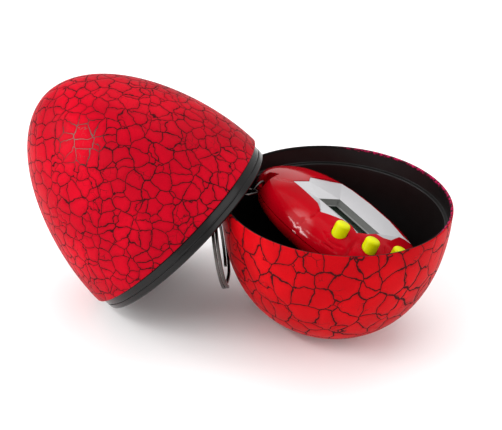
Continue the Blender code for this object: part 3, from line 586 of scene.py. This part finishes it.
def half_shell(bm, side, height, exponent, steps, levels, shape=None):
    """A closed half shell, PET_WALL thick, solid beyond SOLID_END_X for the lug."""
    skins = []
    for inset in (0.0, PET_WALL):
        half = (PET_HALF[0] - inset, PET_HALF[1] - inset)
        tall = height - inset
        rings = []
        for k in range(levels):
            lift = 90.0 * (k / levels)
            ring = []
            for i in range(steps):
                angle = 2.0 * math.pi * i / steps
                p = oval_point(angle, lift, half, tall, exponent)
                if inset == 0.0 and shape is not None:
                    p = p + surface_normal(p, half, tall, exponent) * shape(p)
                if inset > 0.0 and p.x < SOLID_END_X:
                    p.x = SOLID_END_X
                p.z = max(p.z, 0.15)
                ring.append(bm.verts.new(Vector((p.x, p.y, side * p.z)) * MM))
            rings.append(ring)
        top = oval_point(0.0, 90.0, half, tall, exponent)
        rings.append([bm.verts.new(Vector((0.0, 0.0, side * top.z)) * MM)])
        for a, b in zip(rings, rings[1:]):
            for i in range(steps):
                j = (i + 1) % steps
                bm.faces.new((a[i], a[j], b[0]) if len(b) == 1 else (a[i], a[j], b[j], b[i]))
        skins.append(rings[0])
    for i in range(steps):
        j = (i + 1) % steps
        bm.faces.new((skins[0][i], skins[0][j], skins[1][j], skins[1][i]))
    bmesh.ops.recalc_face_normals(bm, faces=bm.faces)


def prism(loop, low, high):
    """A closed upright block over an outline, in millimetres."""
    bm = bmesh.new()
    lower = [bm.verts.new(Vector((x, y, low)) * MM) for x, y in loop]
    upper = [bm.verts.new(Vector((x, y, high)) * MM) for x, y in loop]
    bm.faces.new(lower)
    bm.faces.new(upper)
    for i in range(len(loop)):
        j = (i + 1) % len(loop)
        bm.faces.new((lower[i], lower[j], upper[j], upper[i]))
    bmesh.ops.recalc_face_normals(bm, faces=bm.faces)
    return bm


def disc(x, y, radius, steps=48):
    return [(x + radius * math.cos(2 * math.pi * i / steps),
             y + radius * math.sin(2 * math.pi * i / steps)) for i in range(steps)]


def cut(bm, tools):
    """Take blocks away from a mesh and hand back the result."""
    mesh = bpy.data.meshes.new("work")
    bm.to_mesh(mesh)
    bm.free()
    work = bpy.data.objects.new("work", mesh)
    bpy.context.scene.collection.objects.link(work)
    made = []
    for tool in tools:
        data = bpy.data.meshes.new("tool")
        tool.to_mesh(data)
        tool.free()
        item = bpy.data.objects.new("tool", data)
        bpy.context.scene.collection.objects.link(item)
        step = work.modifiers.new("cut", "BOOLEAN")
        step.operation = "DIFFERENCE"
        step.object = item
        step.solver = "EXACT"
        made.append(item)
    bpy.context.view_layer.update()
    done = bpy.data.meshes.new_from_object(
        work.evaluated_get(bpy.context.evaluated_depsgraph_get()))
    result = bmesh.new()
    result.from_mesh(done)
    for item in made + [work]:
        bpy.data.objects.remove(item)
    return result


def grown(loop, distance):
    """An outline moved outwards by a distance."""
    area = sum(a[0] * b[1] - b[0] * a[1] for a, b in zip(loop, loop[1:] + loop[:1]))
    turn = 1.0 if area > 0 else -1.0
    moved = []
    for before, here, after in zip(loop[-1:] + loop[:-1], loop, loop[1:] + loop[:1]):
        first = (Vector(here) - Vector(before)).normalized()
        second = (Vector(after) - Vector(here)).normalized()
        normal_a = Vector((first.y, -first.x)) * turn
        normal_b = Vector((second.y, -second.x)) * turn
        corner = (normal_a + normal_b).normalized()
        stretch = distance / max(0.45, corner.dot(normal_a))
        moved.append((here[0] + corner.x * stretch, here[1] + corner.y * stretch))
    return moved


def lug_blocks(side):
    """What is cut away round the lug on one side: its pocket, the gap past its end, its hole."""
    aim = Vector(LUG_AIM).normalized()
    sideways = Vector((-aim.y, aim.x))
    hole = Vector(LUG_HOLE)
    blocks = []
    for begin, half, level in ((POCKET[0], 1.6, LUG_HALF), (LUG_END, 1.8, -1.0)):
        across = sideways * half
        near = hole + aim * begin
        far = hole + aim * (POCKET[1] + half)
        loop = [tuple(near + across), tuple(near - across), tuple(far - across),
                tuple(far + across)]
        low, high = sorted((side * level, side * 14.0))
        blocks.append(prism(loop, low, high))
    blocks.append(prism(disc(*LUG_HOLE, LUG_HOLE_R), -3.0, 3.0))
    return blocks


def build_front():
    bm = bmesh.new()
    half_shell(bm, 1.0, FRONT_H, FRONT_POWER, 288, 88, relief)
    tools = [prism(grown(list(OUTLINE), 0.12), 5.4, 14.0)]
    for _, x, y in BUTTONS:
        tools.append(prism(disc(x, y, BUTTON_HOLE_R), 3.0, 14.0))
    tools += lug_blocks(1.0)
    bm = cut(bm, tools)
    bmesh.ops.transform(bm, matrix=PET, verts=bm.verts)
    place_mesh("pet_front", bm, [PET_RED], "pet", ["front_shell"], 40)


def build_back():
    bm = bmesh.new()
    half_shell(bm, -1.0, BACK_H, BACK_POWER, 192, 48)
    tools = [prism(DOOR, -14.0, DOOR_SEAT_Z)]
    recess_r, recess_z = SCREW_RECESS
    for x, y in CASE_SCREWS:
        tools.append(prism(disc(x, y, SCREW_HOLE_R, 24), -6.0, 1.0))
        tools.append(prism(disc(x, y, recess_r, 32), -12.0, recess_z))
    tools += lug_blocks(-1.0)
    bm = cut(bm, tools)
    bmesh.ops.transform(bm, matrix=PET, verts=bm.verts)
    place_mesh("pet_back", bm, [PET_DARK], "pet", ["back_shell"], 40)


def dome(x, y):
    """Height of the front shell's plain surface above the seam."""
    wide = FAR_HALF if y > 0.0 else PET_HALF[1]
    rho = ((abs(x) / PET_HALF[0]) ** PLAN + (abs(y) / wide) ** PLAN) ** (1.0 / PLAN)
    return FRONT_H * max(0.0, 1.0 - rho ** FRONT_POWER) ** (1.0 / FRONT_POWER)


def build_faceplate():
    """White torn-edged plate whose four slopes fall to the window, joined by mitres."""
    hx, hy = WINDOW[0] / 2, WINDOW[1] / 2
    cx, cy = SCREEN
    corners = [(cx - hx, cy - hy), (cx + hx, cy - hy), (cx + hx, cy + hy), (cx - hx, cy + hy)]
    mitres = [17, 13, 8, 4]     # outline corner that each window corner's mitre runs to
    loop = [Vector((x, y, max(LIP_Z, dome(x, y) - 0.1))) for x, y in OUTLINE]
    count = len(loop)
    bm = bmesh.new()
    rim = [bm.verts.new(p * MM) for p in loop]
    under = [bm.verts.new(Vector((p.x, p.y, PLATE_FOOT_Z)) * MM) for p in loop]
    lip = [bm.verts.new(Vector((x, y, LIP_Z)) * MM) for x, y in corners]
    foot = [bm.verts.new(Vector((x, y, PLATE_FOOT_Z)) * MM) for x, y in corners]
    for side in range(4):
        start, end = mitres[side], mitres[(side + 1) % 4]
        a, b = lip[side], lip[(side + 1) % 4]
        chain = [start]
        while chain[-1] != end:
            chain.append((chain[-1] - 1) % count)
        middle = len(chain) // 2
        for i in range(len(chain) - 1):
            corner = a if i < middle else b
            bm.faces.new((rim[chain[i]], rim[chain[i + 1]], corner))
        bm.faces.new((rim[chain[middle]], b, a))
        wall = bm.faces.new((a, b, foot[(side + 1) % 4], foot[side]))
        wall.material_index = 1
    for i in range(count):
        j = (i + 1) % count
        bm.faces.new((rim[i], rim[j], under[j], under[i]))
    bmesh.ops.transform(bm, matrix=PET, verts=bm.verts)
    place_mesh("face_surround", bm, [WHITE, GREY], "pet", ["faceplate"], 7)


def build_screen():
    """Grey walls of the screen's well, with a small ledge round their foot."""
    bm = bmesh.new()
    cx, cy = SCREEN
    hx, hy = WINDOW[0] / 2, WINDOW[1] / 2
    levels = [(hx + out, hy + out, z) for out, z in (
        (0.02, 5.70), (-0.05, 4.2), (-0.25, 4.05), (-0.3, 3.86))]
    levels += [(*FRAME_HALF, 3.86), (*FRAME_HALF, 5.10)]
    levels += [(hx + 0.4, hy + 0.4, 5.15), (hx + 0.3, hy + 0.3, 5.70)]
    rings = []
    for dx, dy, z in levels:
        ring = []
        for sx, sy in ((-1, -1), (1, -1), (1, 1), (-1, 1)):
            ring.append(bm.verts.new(Vector((cx + sx * dx, cy + sy * dy, z)) * MM))
        rings.append(ring)
    rings.append(rings[0])
    for a, b in zip(rings, rings[1:]):
        for i in range(4):
            j = (i + 1) % 4
            bm.faces.new((a[i], a[j], b[j], b[i]))
    bmesh.ops.transform(bm, matrix=PET, verts=bm.verts)
    place_mesh("screen_well", bm, [GREY], "pet", ["screen_frame"], 30)


def build_buttons():
    for name, x, y in BUTTONS:
        away = Vector((x, y)).normalized()
        bm = bmesh.new()
        place = PET @ Matrix.Translation(Vector((x, y, 0.0)) * MM)
        profile = [(0.0, 2.8), (BUTTON_R, 2.8), (BUTTON_R, 8.65)]
        profile += arc((BUTTON_R - 0.95, 8.65), 0.95, 0.0, 78.0, 9)[1:]
        profile += [(0.95, 9.65), (0.5, 9.72), (0.0, 9.74)]
        sweep_profile(bm, profile, 64, place)
        flange = Matrix.Translation(Vector((-away.x * FLANGE_SHIFT, -away.y * FLANGE_SHIFT,
                                            0.0)) * MM)
        sweep_profile(bm, [(0.0, 2.82), (2.4, 2.82), (2.5, 2.9), (2.5, 3.4), (2.4, 3.48),
                           (0.0, 3.48)], 48, place @ flange)
        place_mesh(name + "_cap", bm, [YELLOW], name + "_body", [name], 40)


# ---- the chain and ring, in millimetres ------------------------------------------
WIRE_R = 0.4
LINK_INNER = 5.9
LINK_WIDTH = 2.6
JUMP_R = 2.8
RIM_LINK_END = (-34.9, -6.0, 42.05)  # outer end bar of the link on the rim
RIM_LINK_AIM = (-1.0, -0.4, 0.0)
RING_R = 11.8
RING_WIRE_R = 0.45
RING_PITCH = 0.98
RING_AZIMUTH = math.radians(181.0)
RING_TILT = math.radians(11.5)     # its foot leans in under the bowl
RING_STEP = math.radians(24.0)     # half the arc over which the wire steps between turns


def tube(name, points, section, normals, closed, body, replaced):
    """A bar of the given section, swept along points; section is (out, side) in mm."""
    bm = bmesh.new()
    rings = []
    count = len(points)
    for i, p in enumerate(points):
        before = points[i - 1] if (closed or i > 0) else p
        after = points[(i + 1) % count] if (closed or i < count - 1) else p
        along = (after - before).normalized()
        normal = normals[i] if isinstance(normals, list) else normals
        side = normal.normalized()
        out = along.cross(side).normalized()
        side = out.cross(along).normalized()
        rings.append([bm.verts.new(p + (out * a + side * b) * MM) for a, b in section])
    size = len(section)
    pairs = list(zip(rings, rings[1:]))
    if closed:
        pairs.append((rings[-1], rings[0]))
    for a, b in pairs:
        for i in range(size):
            j = (i + 1) % size
            bm.faces.new((a[i], a[j], b[j], b[i]))
    if not closed:
        bm.faces.new(rings[0])
        bm.faces.new(rings[-1])
    place_mesh(name, bm, [CHAIN], body, replaced, 50)


def round_section(radius):
    steps = 16
    return [(radius * math.cos(2 * math.pi * i / steps),
             radius * math.sin(2 * math.pi * i / steps)) for i in range(steps)]


def flat_section(out, side, round_off):
    """Corner points of a rounded rectangle, from its half sizes."""
    points = []
    for sx, sy, start in ((1, 1, 0), (-1, 1, 90), (-1, -1, 180), (1, -1, 270)):
        centre = (sx * (out - round_off), sy * (side - round_off))
        points += arc(centre, round_off, start, start + 90, 4)
    return points


def build_chain():
    face = Vector(PET_FACE).normalized()
    hole = PET @ (Vector((*LUG_HOLE, 0.0)) * MM)
    rim_end = Vector(RIM_LINK_END) * MM
    rim_aim = Vector(RIM_LINK_AIM).normalized()
    up = Vector((0.0, 0.0, 1.0))
    lap = (2 * WIRE_R + GAP) * MM
    pitch = (LINK_INNER - GAP) * MM
    rim_start = rim_end - rim_aim * (LINK_INNER + 2 * WIRE_R) * MM
    inside_end = rim_start + rim_aim * lap
    aim = (inside_end - hole).normalized()

    def lay(name, origin, along, normal, local, closed=True):
        """Bend a wire along points that are given flat, in a frame of their own."""
        matrix = frame_matrix(origin, along, normal)
        points = [matrix @ (p * MM) for p in local]
        tube(name + "_wire", points, round_section(WIRE_R - 0.01), matrix.to_3x3().col[2], closed,
             name + "_body", [name])

    ring = []
    for i in range(61):
        angle = math.radians(-100.0 + 354.0 * i / 60)
        ring.append(Vector((JUMP_R * (1 + math.cos(angle)), JUMP_R * math.sin(angle), 0.0)))
    lay("jump_ring", hole, aim, face.cross(aim), ring, closed=False)
    bend = LINK_WIDTH / 2 + WIRE_R
    straight = LINK_INNER / 2 + WIRE_R - bend
    link = []
    for i in range(48):
        angle = 2.0 * math.pi * (i + 0.5) / 48
        x = bend * math.cos(angle) + math.copysign(straight, math.cos(angle))
        link.append(Vector((x + straight + bend, bend * math.sin(angle), 0.0)))
    start = hole + aim * (2 * JUMP_R * MM - lap)
    first = (inside_end - start).normalized()
    second = start + first * pitch
    third = rim_end + up * lap
    tangent = Vector((-math.sin(RING_AZIMUTH), math.cos(RING_AZIMUTH), 0.0))
    lay("chain_link_1", start, first, up, link)
    lay("chain_link_2", second, inside_end - second, first.cross(up), link)
    lay("chain_link_3", rim_start, rim_aim, up, link)
    lay("chain_link_4", third, -up, tangent, link)
    top = third - up * (LINK_INNER + WIRE_R - 2.2 * GAP - RING_WIRE_R) * MM
    radial = Vector((math.cos(RING_AZIMUTH), math.sin(RING_AZIMUTH), 0.0))
    down = (-up * math.cos(RING_TILT) - radial * math.sin(RING_TILT)).normalized()
    matrix = frame_matrix(top, down, radial) @ Matrix.Translation((RING_R * MM, 0.0, 0.0))
    end = RING_STEP + math.radians(5.0)
    low, high = end, 4.0 * math.pi - end
    points = []
    for i in range(241):
        angle = low + (high - low) * i / 240
        passed = (angle - (2.0 * math.pi - RING_STEP)) / (2.0 * RING_STEP)
        rise = RING_PITCH * (smooth(passed) - 0.5)
        points.append(matrix @ (Vector((RING_R * math.cos(angle), RING_R * math.sin(angle),
                                        rise)) * MM))
    tube("split_ring_wire", points, flat_section(0.50, 0.42, 0.18), matrix.to_3x3().col[2],
         False, "split_ring_body", ["split_ring"])


build_bowl()
build_cap()
build_collar()
build_front()
build_back()
build_faceplate()
build_screen()
build_buttons()
build_chain()

# ---- materials on the CAD pieces that stay --------------------------------------
KEPT = {"ballast_weight": WEIGHT, "ballast_cover": COVER, "battery_door": PET_DARK,
        "screen_window": WINDOW_CLEAR, "lcd_panel": LCD, "zebra_connector": RUBBER,
        "circuit_board": BOARD, "chip_blob": CHIP, "piezo_buzzer": BRASS,
        "button_pad": RUBBER, "battery_1": CELL, "battery_2": CELL,
        "battery_contact_positive": CONTACT, "battery_contact_negative": CONTACT,
        "battery_contact_bridge": CONTACT, "case_screw_1": SCREW, "case_screw_2": SCREW,
        "case_screw_3": SCREW, "case_screw_4": SCREW, "battery_door_screw": SCREW}
for name, finish in KEPT.items():
    data = nodes[name].data
    if not data.materials:
        data.materials.append(finish)
    for i in range(len(data.materials)):
        data.materials[i] = finish


# ---- floor, light and camera -----------------------------------------------------
def floor():
    g = Graph("floor_white", 0.55)
    tone = g.mix(g.noise(g.coords(), 0.02, 2.0), (0.95, 0.95, 0.95), (0.97, 0.97, 0.97))
    g.set(Base_Color=tone, Specular_IOR_Level=0.1)
    bm = bmesh.new()
    bmesh.ops.create_grid(bm, x_segments=8, y_segments=8, size=3.0)
    mesh = bpy.data.meshes.new("floor")
    bm.to_mesh(mesh)
    bm.free()
    mesh.materials.append(g.material)
    item = bpy.data.objects.new("floor", mesh)
    bpy.context.scene.collection.objects.link(item)


CAMERA_PLACE = (-0.02436, -0.30107, 0.20415)
CAMERA_DOWN = 0.515                # radians below the horizon
CAMERA_ROLL = 0.0524
SENSOR = 36.0
LENS = 86.0558                     # on that sensor, in millimetres


def area_light(name, place, target, size, energy, roll=0.0):
    light = bpy.data.lights.new(name, "AREA")
    light.shape = "RECTANGLE"
    light.size, light.size_y = size
    light.energy = energy
    item = bpy.data.objects.new(name, light)
    item.location = place
    aim = (Vector(target) - Vector(place)).to_track_quat("-Z", "Y")
    item.rotation_euler = (aim @ Quaternion((0.0, 0.0, 1.0), roll)).to_euler()
    bpy.context.scene.collection.objects.link(item)


def light_and_camera():
    scene = bpy.context.scene
    world = bpy.data.worlds.new("studio")
    world.use_nodes = True
    world.node_tree.nodes["Background"].inputs["Color"].default_value = (1.0, 1.0, 1.0, 1.0)
    world.node_tree.nodes["Background"].inputs["Strength"].default_value = 0.78
    scene.world = world
    middle = (-0.02, 0.0, 0.03)
    area_light("key", (-0.45, -0.40, 0.62), middle, (0.55, 0.09), 1.75)
    area_light("fill", (0.62, -0.30, 0.42), middle, (0.7, 0.5), 1.5)
    area_light("top", (0.05, 0.30, 0.75), middle, (0.8, 0.5), 2.5)
    area_light("low_left", (-0.30, -0.62, 0.16), middle, (0.10, 0.22), 0.3)
    area_light("pet_edge", (-0.474, -0.072, 0.23), (-0.0125, -0.0125, 0.0385), (0.36, 0.10), 1.3,
               math.radians(-33.0))
    camera = bpy.data.cameras.new("camera")
    camera.sensor_fit = "HORIZONTAL"
    camera.sensor_width = SENSOR
    camera.lens = LENS
    camera.clip_start = 0.01
    camera.clip_end = 20.0
    item = bpy.data.objects.new("camera", camera)
    s, c = math.sin(CAMERA_DOWN), math.cos(CAMERA_DOWN)
    cr, sr = math.cos(CAMERA_ROLL), math.sin(CAMERA_ROLL)
    turn = Matrix(((cr, -sr, 0.0), (sr * s, cr * s, -c), (sr * c, cr * c, s))).to_4x4()
    item.matrix_world = Matrix.Translation(CAMERA_PLACE) @ turn
    scene.collection.objects.link(item)
    scene.camera = item
    scene.view_settings.view_transform = "Standard"
    scene.view_settings.look = "None"


floor()
light_and_camera()
